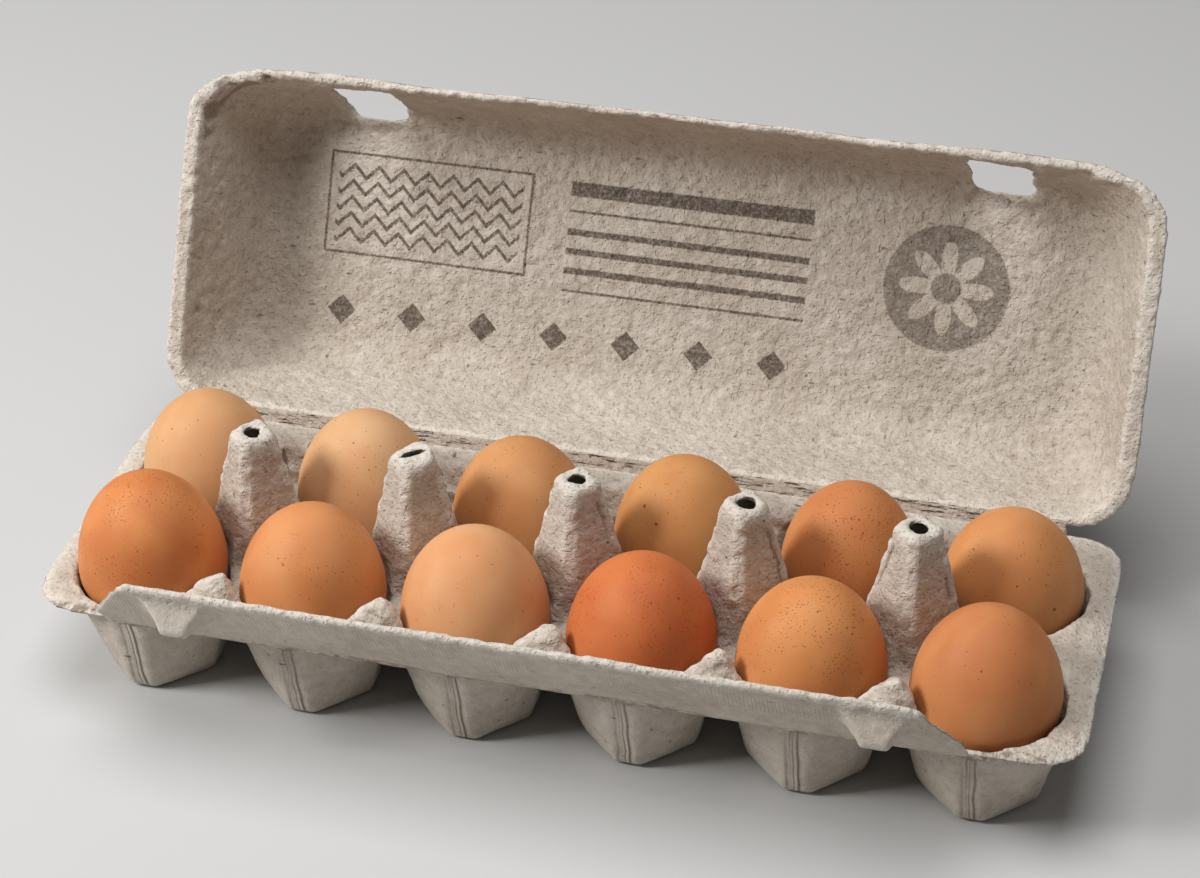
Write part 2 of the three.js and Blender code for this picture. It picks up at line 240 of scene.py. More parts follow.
def relax(mesh, share, rounds):
    """Draws points towards the middle of their neighbours, each by its own share."""
    points, _ = points_and_normals(mesh)
    averaged = averaging(mesh)
    for _ in range(rounds):
        middle = np.stack([averaged(points[:, k]) for k in range(3)], 1)
        points += (middle - points) * (0.5 * share)[:, None]
    set_points(mesh, points)


def keep_inside(obj, margin=1.5):
    """Squeezes the points near the solid model's box back into it, over a thin margin."""
    points, _ = points_and_normals(obj.data)
    for side, corner in zip((-1, 1), solid_box):
        for k in range(3):
            beyond = np.clip(side * (points[:, k] - corner[k] / MM) + margin, 0, None)
            if beyond.max() > margin - 0.03:
                points[:, k] -= side * beyond * (1 - (margin - 0.03) / beyond.max())
    set_points(obj.data, points)


def ramp(values, low, high):
    """0 below low, 1 above high and a smooth slope between."""
    share = np.clip((values - low) / (high - low), 0, 1)
    return share * share * (3 - 2 * share)


def noise_field(points, grain, offset=0.0):
    """Smooth random numbers from -1 to 1, with lumps of that many millimetres."""
    shift = Vector((offset, offset * 1.7, offset * 2.3))
    return np.array([noise.noise(Vector(p) / grain + shift) for p in points])


# %% [markdown]
# ## Lumps and pits
# Pulp is sucked onto a wire screen. The side on the screen is fairly smooth, the other side
# keeps the lumps of the slurry. Every wall of a moulded sheet leans a little, so it comes
# off its mould, and that tells the two sides apart: the rough side's normals all look the
# way the sheet was lifted. The share of roughness is stored for the material too. A
# slow drift, the same on both sides, takes the ruler's straightness out of the long edges.

# %% Pulp relief
def pulp_relief(obj, lifted, lump=1.0, edge=0.0):
    """Lumps on the side that faces the lifting direction and on edges, few elsewhere."""
    points, normals = points_and_normals(obj.data)
    rough = np.maximum(ramp(normals @ np.array(lifted), -0.12, 0.12), edge)
    broad = noise_field(points, 11.0) * 0.30
    middle = noise_field(points, 4.6, 7.0) * 0.42
    small = noise_field(points, 2.3, 19.0) * 0.34
    height = broad * (0.4 + 0.6 * rough) + (middle + small) * (0.22 + 0.78 * rough)
    height -= np.clip(noise_field(points, 3.1, 31.0) - 0.35, 0, 1) * 0.9 * rough
    drift = np.stack([noise_field(points, 34.0, 50.0 + 9 * k) for k in range(3)], 1) * 0.3
    height *= lump
    set_points(obj.data, points + normals * height[:, None] + drift)
    store(obj.data, "rough", rough)
    print(obj.name, "relief, mm:", round(height.min(), 2), round(height.max(), 2))


def hollow_share(obj, edge):
    """Stores how deep each point lies in a hollow (above 0.5) or on a ridge (below)."""
    mesh = obj.data
    points, normals = points_and_normals(mesh)
    averaged = averaging(mesh)
    middle = np.stack([averaged(points[:, k]) for k in range(3)], 1)
    depth = np.einsum("ij,ij->i", middle - points, normals)
    for _ in range(3):
        depth = 0.5 * depth + 0.5 * averaged(depth)
    # The pulp material paints hollows darker, a painted shade, and ridges paler, a painted
    # highlight. A positive edge counts towards ridge, a negative one towards hollow.
    store(mesh, "hollow", np.clip(0.5 + depth * 4 - 0.3 * edge, 0, 1))


# %% [markdown]
# ## The tray
# The tray's solid already has its cells, posts and peaks. Its copy gets the even skin. The
# rim of a real carton is pressed twice and swells to a round bead, so points close to the
# rim's outer edge are pushed out a little.

# %% Form the tray
rim_low, rim_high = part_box("tray")
RIM_MIDDLE_Y = (rim_low.y + rim_high.y) / 2 / MM
RIM_HALF = (rim_high.x / MM, (rim_high.y - rim_low.y) / 2 / MM)
RIM_CORNER = 13.0


def distance_to_rim(points):
    """How far each point lies inside the rim's rounded outline, in millimetres."""
    across = np.abs(points[:, 0]) - (RIM_HALF[0] - RIM_CORNER)
    along = np.abs(points[:, 1] - RIM_MIDDLE_Y) - (RIM_HALF[1] - RIM_CORNER)
    outside = np.hypot(np.clip(across, 0, None), np.clip(along, 0, None))
    inside = np.minimum(np.maximum(across, along), 0)
    return RIM_CORNER - outside - inside


tray = welded_copy("tray", "tray_pulp")
even_skin(tray, 1.0 * MM, 4)
tray_points, tray_normals = points_and_normals(tray.data)
bead = 1 - ramp(distance_to_rim(tray_points), 0.8, 4.5)
bead *= ramp(tray_points[:, 2], 27, 28.5)
front_edge = 1 - ramp(tray_points[:, 1], -75.5, -71)
swell = bead * (1 - front_edge) * (1 - np.abs(tray_normals[:, 2]))
set_points(tray.data, tray_points + tray_normals * (swell * 0.7)[:, None])
print("rim bead on", int((bead > 0.05).sum()), "points")

# %% [markdown]
# ## Ridges on the posts
# A post has four broad faces, and the narrow strips between them come out of the mould
# rough and a little proud. The strips lie straight in front of, behind and beside a post's
# middle, so a point's place relative to the nearest post says how deep in a strip it is.

# %% Roughen the posts' ridges
PITCH = 47.6
POST_Y = -30.95
tray_points, tray_normals = points_and_normals(tray.data)
nearest = np.round(tray_points[:, 0] / PITCH) * PITCH
beside = tray_points[:, 0] - nearest
before = tray_points[:, 1] - POST_Y
away = np.hypot(beside, before)
on_post = ramp(tray_points[:, 2], 30, 38) * (1 - ramp(away, 16, 19))
on_post *= (np.abs(tray_points[:, 0]) < 2.4 * PITCH) * (tray_points[:, 2] > 30)
strip = 1 - ramp(np.minimum(np.abs(beside), np.abs(before)), 1.0, 2.4)
flakes = 0.55 + 0.9 * noise_field(tray_points, 3.4, 77.0)
outside = ramp(tray_normals[:, 2], 0.0, 0.2)
proud = on_post * strip * outside * flakes * 0.7
tray_points += tray_normals * proud[:, None]
print("ridges stand out by up to", round(float(proud.max()), 2), "mm")

# %% [markdown]
# ## Torn tops
# Each post ends in a small hole where the mould's pin went through. The pin tears the edge,
# so points close to the hole are pushed away from its middle by uneven amounts. On one
# post the tear closed to a slanting slit and lifted the top on one side. Direction numbers
# along and across the slit make it a stretch one way and a squeeze the other way.

# %% Tear the posts' tops
at_top = ramp(tray_points[:, 2], 60, 63) * on_post
tear = at_top * (1 - ramp(away, 2.2, 5.5))
uneven = 0.9 + 0.9 * noise_field(tray_points * (1, 1, 0.2), 2.6, 91.0)
push = (tear * uneven / np.maximum(away, 0.4))[:, None]
tray_points[:, :2] += np.stack([beside, before], 1) * push
slit = tear * (np.abs(nearest + PITCH) < 1)
SLIT_ALONG = np.array([0.80, 0.60])
SLIT_ACROSS = np.array([-0.60, 0.80])
along_slit = beside * SLIT_ALONG[0] + before * SLIT_ALONG[1]
across_slit = beside * SLIT_ACROSS[0] + before * SLIT_ACROSS[1]
tray_points[:, :2] += (slit * np.sign(along_slit) * 1.1)[:, None] * SLIT_ALONG
tray_points[:, :2] -= (slit * np.clip(across_slit, -2.0, 2.0) * 0.75)[:, None] * SLIT_ACROSS
lift = at_top * (np.abs(nearest + PITCH) < 1) * np.clip(along_slit, -1, 5) * 0.35
tray_points[:, 2] += lift
print("torn points:", int((tear > 0.1).sum()))

# %% [markdown]
# ## Cracks beside the ridges
# On three posts the sheet cracked while it dried, along one border of a side ridge. A crack
# is a thin wandering line that sinks a little; it is stored as a deep hollow, so the
# material darkens it with painted shade.

# %% Crack the posts
wander = 1.0 * noise_field(tray_points * (0, 0, 1) + nearest[:, None], 4.5, 17.0)
cracks_with_shade = np.zeros(len(tray_points))
for post_x, side, low, high in ((0, 1, 52, 62), (1, 1, 38, 60), (2, 1, 44, 52), (2, -1, 46, 62)):
    line = 1 - ramp(np.abs(before + 2.0 + wander), 0.35, 0.95)
    here = (np.abs(nearest - post_x * PITCH) < 1) * (side * beside > 0) * outside
    length = ramp(tray_points[:, 2], low, low + 3) * (1 - ramp(tray_points[:, 2], high - 2, high))
    cracks_with_shade = np.maximum(cracks_with_shade, line * here * length * on_post)
tray_points -= tray_normals * (cracks_with_shade * 0.45)[:, None]
print("cracked points:", int((cracks_with_shade > 0.5).sum()))

# %% [markdown]
# ## Tents on the rim
# Between two front cells the rim rises to a small tent. It has a long slope on one side and
# a steep one on the other, its sides are plump and its tip is narrow. Points are moved
# sideways by a share that grows with their height, which turns the solid's even cone into
# such a tent. The knobs on the back rim slumped while they were wet, so they are lower.

# %% Shape the tents
TENT_LOW, TENT_HIGH = 31.0, 43.6
TENT_Y = 37.4
height = np.clip((tray_points[:, 2] - TENT_LOW) / (TENT_HIGH - TENT_LOW), 0, 1)
knobs = {}
for side in (-1, 1):
    in_front = tray_points[:, 1] - (POST_Y + side * TENT_Y)
    near = (1 - ramp(np.hypot(beside, in_front), 10, 14)) * (np.abs(nearest) < 2.4 * PITCH)
    knobs[side] = near * ramp(tray_points[:, 2], TENT_LOW - 1, TENT_LOW + 2)
    if side < 0:
        outward = ramp(-in_front, -2, 3)
        spread = np.where(beside < 0, 0.50, 0.20) * outward - 0.55 * height
        tray_points[:, 0] += knobs[side] * (beside * spread + 1.5 * height)
        tray_points[:, 1] -= knobs[side] * in_front * 0.35 * height
tray_points[:, 2] -= knobs[1] * height * (TENT_HIGH - TENT_LOW) * 0.45
tents = np.maximum(knobs[-1], knobs[1])
plump = knobs[-1] * height * (1 - height) * 3.2 * (tray_normals[:, 2] > 0)
tray_points += tray_normals * plump[:, None]
print("tents' points:", int((tents > 0.5).sum()))

# %% [markdown]
# ## The tray's surface
# Posts' faces and the pressed rim are calm, the tents are lumpy. The rim sank a little
# beside its bead. Once the form stands, the lumps, the hollows and the count follow.

# %% Finish the tray
on_rim = (1 - ramp(distance_to_rim(tray_points), 6, 10)) * (1 - tents)
calm = (1 - 0.72 * on_post * (1 - strip)) * (1 - 0.55 * on_rim) * (1 - 0.6 * front_edge * on_rim)
calm += 0.45 * tents
tray_points[:, 2] -= on_rim * ramp(tray_normals[:, 2], 0.3, 0.8) * 0.35
set_points(tray.data, tray_points)
pulp_relief(tray, (0, 0, 1), calm, bead * 0.6)
keep_inside(tray)
# Bead, ridge strips and post tops count as ridges, so the material paints them paler, a painted
# highlight.
# The cracks count as deep hollows, so the material darkens them with painted shade.
hollow_share(tray, bead + on_post * (strip + at_top) * outside * 0.6 - cracks_with_shade * 2.2)
thin_out(tray, 185000)
print("posts' points:", int((on_post > 0.5).sum()))

# %% [markdown]
# ## The lid
# The lid stands open at 118 degrees, so plain X, Y and Z say little about a place on it.
# Two numbers say more: how far up the lid it is from the hinge, and how deep inside.

# %% Places on the lid
OPEN = math.radians(118)
LID_HINGE = np.array([0, 22.925, 32.325])
UP_THE_LID = np.array([0, -math.cos(OPEN), math.sin(OPEN)])
OUT_OF_LID = np.array([0, math.sin(OPEN), math.cos(OPEN)])


def lid_place(points):
    """Distance from the hinge along the lid, and depth into it, in millimetres."""
    return (points - LID_HINGE) @ UP_THE_LID, (points - LID_HINGE) @ OUT_OF_LID


print("the lid's mouth looks to", [round(float(v), 2) for v in OUT_OF_LID])

# %% [markdown]
# ## The lid's rolled edge
# The lid's front edge is rolled over while wet, so it is thicker than the wall below it. A
# thin cone with equal ends makes a straight bar, and its points are moved one by one onto
# the edge, which bows out in the middle and has a shallow recess. Towards its ends the bar
# gets flatter and deeper, where the wall inside is cut thin for the flap.

# %% Make the rolled edge
LID_FRONT, LID_CROWN, LID_HALF = 105.4, 3.4, 148.4
BAR_HALF, BAR_RADIUS = 134.0, 1.25
RECESS_X = (-140, -124, -80, 0, 80, 124, 140)
RECESS_DEPTH = (0, 1.3, 2.3, 3.05, 2.3, 1.3, 0)
CLOSING_GAP = 0.375


def rolled_edge():
    """A bar along the lid's front edge, which follows its bow and its shallow recess."""
    form = bmesh.new()
    turn = Matrix.Rotation(math.pi / 2, 3, "Y")
    bmesh.ops.create_cone(form, segments=10, radius1=BAR_RADIUS * MM, radius2=BAR_RADIUS * MM,
                          depth=2 * BAR_HALF * MM, cap_ends=True)
    bmesh.ops.rotate(form, matrix=turn, verts=form.verts)
    long_edges = [e for e in form.edges if e.calc_length() > BAR_HALF * MM]
    bmesh.ops.subdivide_edges(form, edges=long_edges, cuts=90)
    for vertex in form.verts:
        x = vertex.co.x / MM
        wave = 0.35 * noise.noise(Vector((x / 9, 4.1, 0)))
        far = float(ramp(np.array(abs(x)), 60, 108))
        end = float(ramp(np.array(abs(x)), 126, 134))
        up = LID_FRONT - LID_CROWN * (x / LID_HALF) ** 2 - 1.2 + 1.9 * far - 1.6 * end + wave
        out = CLOSING_GAP + float(np.interp(x, RECESS_X, RECESS_DEPTH)) + 1.5 + 2.1 * far
        across = vertex.co.z / MM * (1 + 1.9 * far)
        up += vertex.co.y / MM * (1 - 0.25 * far - 0.25 * end) - 0.23 * across * far
        out += across
        middle = Vector(LID_HINGE + up * UP_THE_LID + out * OUT_OF_LID) * MM
        vertex.co = Vector((vertex.co.x, middle.y, middle.z))
    return form


edge_form = rolled_edge()
print("rolled edge:", len(edge_form.verts), "points")

# %% [markdown]
# ## The lid's skin
# Bar and lid get one even skin, which melts them together. Where wall and ceiling meet, the
# wet sheet bends softly: points there are drawn towards their neighbours many times, while
# the rim and the windows keep their edges. The rim stands back a little from the tray's, so
# the lid shuts without rubbing.

# %% Form the lid
edge_form.from_mesh(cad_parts["lid"].data)
bmesh.ops.remove_doubles(edge_form, verts=edge_form.verts, dist=1e-6)
lid = new_object("lid_pulp", edge_form)
even_skin(lid, 0.95 * MM, 4)
lid_points, _ = points_and_normals(lid.data)
lid_along, lid_depth = lid_place(lid_points)
by_window = np.minimum(np.abs(lid_points[:, 0] + 97.0), np.abs(lid_points[:, 0] - 97.2))
by_window = (1 - ramp(by_window, 12, 18)) * ramp(lid_along, 84, 90)
relax(lid.data, ramp(lid_depth, 5, 12) * (1 - by_window), 45)
lid_points, lid_normals = points_and_normals(lid.data)
_, lid_depth = lid_place(lid_points)
lid_bead = 1 - ramp(lid_depth, 1.5, 5)
lid_points += lid_normals * (lid_bead * 0.25)[:, None]
lid_points += OUT_OF_LID * (lid_bead * 0.8)[:, None]
set_points(lid.data, lid_points)
print("lid bead on", int((lid_bead > 0.05).sum()), "points")

# %% [markdown]
# ## Torn windows and a crushed corner
# The two windows are punched through wet pulp, so their edges are ragged. Points round each
# window wander sideways and up the wall, then settle. One corner of the lid was crushed: it
# has stronger lumps and a groove under the rim, which is darkened with painted shade.

# %% Tear the windows and crush the corner
lid_points, lid_normals = points_and_normals(lid.data)
lid_along, lid_depth = lid_place(lid_points)
ragged = np.zeros(len(lid_points))
for middle_x in (-97.0, 97.2):
    reach = np.abs(lid_points[:, 0] - middle_x)
    ragged = np.maximum(ragged, 1 - ramp(reach, 9.5, 13))
ragged *= ramp(lid_along, 88, 92) * ramp(lid_depth, 3.5, 6.5)
lid_points[:, 0] += ragged * noise_field(lid_points, 6.0, 3.0) * 2.6
lid_points += OUT_OF_LID * (ragged * noise_field(lid_points, 6.5, 13.0) * 2.6)[:, None]
crushed = (1 - ramp(lid_points[:, 0], -138, -126)) * ramp(lid_along, 78, 96)
lid_points += lid_normals * (crushed * noise_field(lid_points, 5.5, 23.0) * 1.5)[:, None]
in_corner = (1 - ramp(lid_points[:, 0], -134, -118)) * ramp(lid_along, 74, 90)
groove = in_corner * ramp(lid_depth, 2.0, 3.5) * (1 - ramp(lid_depth, 6, 9))
groove *= np.clip(0.6 + 1.3 * noise_field(lid_points, 4.0, 61.0), 0, 1)
lid_points -= lid_normals * (groove * 0.5)[:, None]
set_points(lid.data, lid_points)
relax(lid.data, ragged, 14)
pulp_relief(lid, -OUT_OF_LID, 0.95, lid_bead)
keep_inside(lid)
# The bead counts a little as a ridge and gets a faint painted highlight; the groove counts as a
# deep hollow and gets painted shade.
hollow_share(lid, lid_bead * 0.1 - groove * 1.4)
thin_out(lid, 170000)

# %% [markdown]
# ## The flap
# The flap is a narrow strip, so it can have a finer skin. Its smooth side is the outer one.
# Its upper edge is rolled over while wet, so it is thicker and rough; its pale colour is a
# painted highlight. The two hooks are pressed out of the sheet: wide where they leave it and
# narrow at their tips. Between them the sheet sank into two long shallow hollows.

# %% Form the flap
FLAP_ROOT = np.array([0, -79.05, 30.6])
FLAP_LEAN = math.radians(28)
UP_THE_FLAP = np.array([0, -math.sin(FLAP_LEAN), math.cos(FLAP_LEAN)])
OUT_OF_FLAP = np.array([0, -math.cos(FLAP_LEAN), -math.sin(FLAP_LEAN)])
FLAP_TOP = 28.4
HOOKS = (-97.0, 95.3)
flap = welded_copy("front_flap", "flap_pulp")
even_skin(flap, 0.7 * MM, 3)
flap_points, flap_normals = points_and_normals(flap.data)
flap_up = (flap_points - FLAP_ROOT) @ UP_THE_FLAP
flap_out = (flap_points - FLAP_ROOT) @ OUT_OF_FLAP
roll = ramp(flap_up, FLAP_TOP - 4.2, FLAP_TOP - 1.2)
inner = ramp(-flap_normals @ OUT_OF_FLAP, -0.3, 0.3)
flap_points += flap_normals * (roll * (0.1 + 0.9 * inner))[:, None]
for hook_x in HOOKS:
    from_hook = flap_points[:, 0] - hook_x
    reach = np.abs(from_hook)
    wider = np.minimum(0.35 * reach, 0.51 * np.clip(13.5 - reach, 0, None))
    flap_points[:, 0] += np.sign(from_hook) * wider * (1 - ramp(flap_out, 1.0, 9.0))
    on_hook = (1 - ramp(np.abs(from_hook), 12, 14)) * np.clip(flap_out - 1.0, 0, 9)
    flap_points -= UP_THE_FLAP * (0.35 * on_hook)[:, None]
    flap_points -= OUT_OF_FLAP * (0.15 * on_hook)[:, None]
for panel_x, half_long in ((-52, 40), (24, 36)):
    from_panel = np.hypot((flap_points[:, 0] - panel_x) / half_long, (flap_up - 7.5) / 6.5)
    panel = (1 - ramp(from_panel, 0.72, 1.0)) * (1 - inner)
    flap_points -= OUT_OF_FLAP * (panel * 0.6)[:, None]
set_points(flap.data, flap_points)
print("hooks reach", round(float(flap_out.max()), 1), "mm out of the flap")
soften = flap.modifiers.new("soften", "SMOOTH")
soften.factor = 0.5
soften.iterations = 5
apply_modifiers(flap)
pulp_relief(flap, (0, 0.88, 0.47), 0.7 - 0.5 * (1 - ramp(flap_up, 4, 8)), roll)
keep_inside(flap)
# The rolled edge counts as a ridge, so the material paints it paler, a painted highlight.
hollow_share(flap, roll)
thin_out(flap, 70000)

# %% [markdown]
# ## Colours and nodes
# A picture's colour numbers are not amounts of light. The shader wants amounts of light, so
# a helper turns the familiar 0 to 255 numbers into them. Materials are trees of nodes, and a
# few short ways to add nodes keep the recipes below readable.

# %% Colour and node helpers
def shade(red, green, blue):
    """A colour from 0-255 picture numbers to the shader's linear ones."""
    def linear(value):
        value /= 255
        return value / 12.92 if value <= 0.04045 else ((value + 0.055) / 1.055) ** 2.4
    return (linear(red), linear(green), linear(blue), 1)


class Tree:
    """Short ways to add and join shader nodes."""

    def __init__(self, tree):
        self.nodes = tree.nodes
        self.links = tree.links

    def add(self, kind, values=(), **settings):
        node = self.nodes.new(kind)
        for key, value in settings.items():
            setattr(node, key, value)
        for socket, value in dict(values).items():
            if isinstance(value, bpy.types.NodeSocket):
                self.links.new(value, node.inputs[socket])
            else:
                node.inputs[socket].default_value = value
        return node

    def math(self, kind, a, b=0.0, c=0.0):
        return self.add("ShaderNodeMath", {0: a, 1: b, 2: c}, operation=kind).outputs[0]

    def mix(self, share, a, b, kind="MIX"):
        node = self.add("ShaderNodeMix", data_type="RGBA", blend_type=kind)
        for socket, value in ((node.inputs[0], share), (node.inputs[6], a), (node.inputs[7], b)):
            if isinstance(value, bpy.types.NodeSocket):
                self.links.new(value, socket)
            else:
                socket.default_value = value
        return node.outputs[2]

    def noise(self, vector, scale, detail=2.0, rough=0.5):
        return self.add("ShaderNodeTexNoise", {
            "Vector": vector, "Scale": scale, "Detail": detail, "Roughness": rough}).outputs[0]

    def between(self, value, low, high, to_low=0.0, to_high=1.0):
        return self.add("ShaderNodeMapRange", {
            "Value": value, "From Min": low, "From Max": high,
            "To Min": to_low, "To Max": to_high}, interpolation_type="SMOOTHSTEP").outputs[0]

    def place_mm(self):
        """The object's own coordinates, in millimetres."""
        coords = self.add("ShaderNodeTexCoord").outputs["Object"]
        return self.add("ShaderNodeVectorMath", {0: coords, 1: (1000, 1000, 1000)},
                        operation="MULTIPLY").outputs[0]


def new_group(name, colours, numbers, vectors=()):
    """A node group with those inputs, which puts out a colour and a height, and its tree."""
    group = bpy.data.node_groups.new(name, "ShaderNodeTree")
    for kind, names in (("Color", colours), ("Float", numbers), ("Vector", vectors)):
        for each in names:
            group.interface.new_socket(each, in_out="INPUT", socket_type="NodeSocket" + kind)
    group.interface.new_socket("Color", in_out="OUTPUT", socket_type="NodeSocketColor")
    group.interface.new_socket("Height", in_out="OUTPUT", socket_type="NodeSocketFloat")
    return group, Tree(group)


print("mid grey as light:", round(shade(128, 128, 128)[0], 3))


# %% [markdown]
# ## The pulp's look as a node group
# Grey pulp is many small things: cloudy shade, fine grain, pits, and now and then a dark
# fibre. They are made once, in a group that puts out a colour and a height, and each piece
# of the carton uses it with its own values. The group works in millimetres: the object's
# coordinates are multiplied by a thousand first.

# %% Pulp group
def dark_fibres(tree, place, cell, share, stretch):
    """Short dark threads, each in its own cell of a Voronoi pattern, most cells empty."""
    squeezed = tree.add("ShaderNodeMapping", {"Vector": place, "Rotation": stretch[0],
                                              "Scale": stretch[1]}).outputs[0]
    spots = tree.add("ShaderNodeTexVoronoi", {"Vector": squeezed, "Scale": 1 / cell})
    chosen = tree.math("LESS_THAN", tree.add(
        "ShaderNodeSeparateColor", {0: spots.outputs["Color"]}).outputs[0], share)
    thread = tree.between(spots.outputs["Distance"], 0.10, 0.20, 1.0, 0.0)
    return tree.math("MULTIPLY", thread, chosen)


def pulp_group():
    group, tree = new_group("pulp", ("Light", "Dark"), ("Rough side", "Hollow", "Fibres"))
    given = tree.add("NodeGroupInput").outputs
    place = tree.place_mm()
    cloud = tree.noise(place, 0.035, 3)
    mottle = tree.noise(place, 0.30, 4, 0.6)
    grain = tree.noise(place, 1.3, 5, 0.65)
    tone = tree.math("ADD", tree.math("MULTIPLY", cloud, 0.35), tree.math("MULTIPLY", mottle, 0.4))
    tone = tree.math("ADD", tone, tree.math("MULTIPLY", grain, 0.35))
    tone = tree.between(tone, 0.36, 0.74)
    colour = tree.mix(tone, given["Dark"], given["Light"])
    # Painted shade: points deep in a hollow get a darker brown.
    low = tree.between(given["Hollow"], 0.56, 0.95)
    colour = tree.mix(tree.math("MULTIPLY", low, 0.55), colour, shade(120, 96, 76))
    # Painted highlight: points on a ridge or edge get a paler colour.
    high = tree.between(given["Hollow"], 0.42, 0.12)
    colour = tree.mix(tree.math("MULTIPLY", high, 0.5), colour, shade(222, 214, 203))
    fibres = tree.math("ADD",
                       dark_fibres(tree, place, 2.6, 0.10, ((0.3, 0.5, 0.2), (0.35, 1, 1))),
                       dark_fibres(tree, place, 3.1, 0.08, ((0.9, 0.1, 1.1), (1, 0.3, 1))))
    fibres = tree.math("ADD", fibres, dark_fibres(
        tree, place, 1.3, 0.06, ((0.2, 0.7, 0.4), (1, 1, 1))))
    fibres = tree.math("MULTIPLY", fibres, given["Fibres"])
    colour = tree.mix(fibres, colour, shade(98, 80, 66))
    granules = tree.add("ShaderNodeTexVoronoi", {"Vector": place, "Scale": 0.42},
                        feature="SMOOTH_F1").outputs["Distance"]
    bumps = tree.math("MULTIPLY", tree.noise(place, 0.38, 3, 0.55), 1.3)
    bumps = tree.math("SUBTRACT", bumps, tree.math("MULTIPLY", granules, 0.2))
    bumps = tree.math("ADD", bumps, tree.math("MULTIPLY", grain, 0.4))
    pits = tree.between(tree.noise(place, 0.8, 2, 0.5), 0.28, 0.42)
    bumps = tree.math("ADD", bumps, tree.math("MULTIPLY", pits, 0.4))
    share = tree.between(given["Rough side"], 0, 1, 0.30, 1.0)
    bumps = tree.math("MULTIPLY", bumps, share)
    tree.add("NodeGroupOutput", {"Color": colour, "Height": bumps})
    return group


PULP = pulp_group()
print("pulp group:", len(PULP.nodes), "nodes")

# %% [markdown]
# ## Pulp materials
# The shader itself stays in each material. Pulp is matt: full roughness and hardly any
# mirror shine. The bump's distance is in metres, so a height of one means one millimetre.

# %% Pulp materials
def pulp_material(name, light, dark, fibres=0.75):
    """A matt pulp material, with its tree, colour, height and rough side for additions."""
    material = bpy.data.materials.new(name)
    material.use_nodes = True
    tree = Tree(material.node_tree)
    shader = tree.nodes["Principled BSDF"]
    shader.inputs["Roughness"].default_value = 0.94
    shader.inputs["Specular IOR Level"].default_value = 0.15
    rough = tree.add("ShaderNodeAttribute", attribute_name="rough").outputs["Fac"]
    hollow = tree.add("ShaderNodeAttribute", attribute_name="hollow").outputs["Fac"]
    look = tree.add("ShaderNodeGroup", node_tree=PULP)
    look.inputs["Light"].default_value = light
    look.inputs["Dark"].default_value = dark
    look.inputs["Fibres"].default_value = fibres
    tree.links.new(rough, look.inputs["Rough side"])
    tree.links.new(hollow, look.inputs["Hollow"])
    return material, tree, look.outputs["Color"], look.outputs["Height"], rough


def finish_pulp(tree, colour, height):
    """Joins colour and height to the shader."""
    shader = tree.nodes["Principled BSDF"]
    bump = tree.add("ShaderNodeBump", {"Height": height, "Strength": 0.9, "Distance": 1.0 * MM})
    tree.links.new(bump.outputs[0], shader.inputs["Normal"])
    tree.links.new(colour, shader.inputs["Base Color"])


LIGHT_PULP = shade(208, 198, 186)
DARK_PULP = shade(178, 165, 150)
print("light pulp:", [round(v, 2) for v in LIGHT_PULP[:3]])

# %% [markdown]
# ## Seams down the feet
# Every foot has a seam down the edge that faces outwards: two thin ridges with a groove
# between them. A ping-pong wave of the X place is zero at every post and highest at every
# cell's middle, so one short sum gives the distance to the nearest seam. The rim's front
# edge is torn and brown where the crease of the flap begins, and the brown line is also
# painted shade of the crease.

# %% Tray material
tray_paper, tree, colour, height, rough = pulp_material("tray_paper", LIGHT_PULP, DARK_PULP)
place = tree.place_mm()
x, y, z = tree.add("ShaderNodeSeparateXYZ", {0: place}).outputs
wobble = tree.between(tree.noise(place, 0.09, 1), 0.3, 0.7, -0.3, 0.3)
half_pitch = PITCH / 2
off_seam = tree.math("SUBTRACT", half_pitch, tree.math(
    "PINGPONG", tree.math("ADD", tree.math("ABSOLUTE", x), wobble), half_pitch))
ridges = tree.math("MINIMUM", tree.between(off_seam, 0.0, 0.5, 0.6, 1.0),
                   tree.between(off_seam, 0.7, 1.5, 1.0, -0.35))
ridges = tree.math("ADD", ridges, tree.between(off_seam, 1.7, 2.9, 0.0, 0.35))
outer = tree.between(tree.math("ABSOLUTE", tree.math("SUBTRACT", y, POST_Y)), 34, 36)
under = tree.math("MULTIPLY", tree.between(rough, 0.15, 0.5, 1, 0), tree.between(z, 27, 29, 1, 0))
seam = tree.math("MULTIPLY", ridges, tree.math("MULTIPLY", outer, under))
height = tree.math("ADD", height, tree.math("MULTIPLY", seam, 0.9))
# Brown line along the rim's front edge: torn fibres and painted shade of the crease.
torn_and_shaded = tree.math("MULTIPLY", tree.between(y, -76.5, -74.5, 1, 0),
                 tree.between(tree.noise(place, 0.35, 3, 0.6), 0.40, 0.60))
torn_and_shaded = tree.math("MULTIPLY", torn_and_shaded, tree.between(z, 26.5, 28.5))
colour = tree.mix(tree.math("MULTIPLY", torn_and_shaded, 0.7), colour, shade(112, 88, 68))
finish_pulp(tree, colour, height)
tray.data.materials.append(tray_paper)
print("tray material:", len(tree.nodes), "nodes")

# %% [markdown]
# ## Wire marks on the flap
# The wire screen of the mould leaves fine upright ribs on the flap's outer side. A sine of
# the X place makes them, and clouds of noise let them fade in and out. Along the crease the
# torn fibres show brown, and the same brown line is also painted shade of the crease.

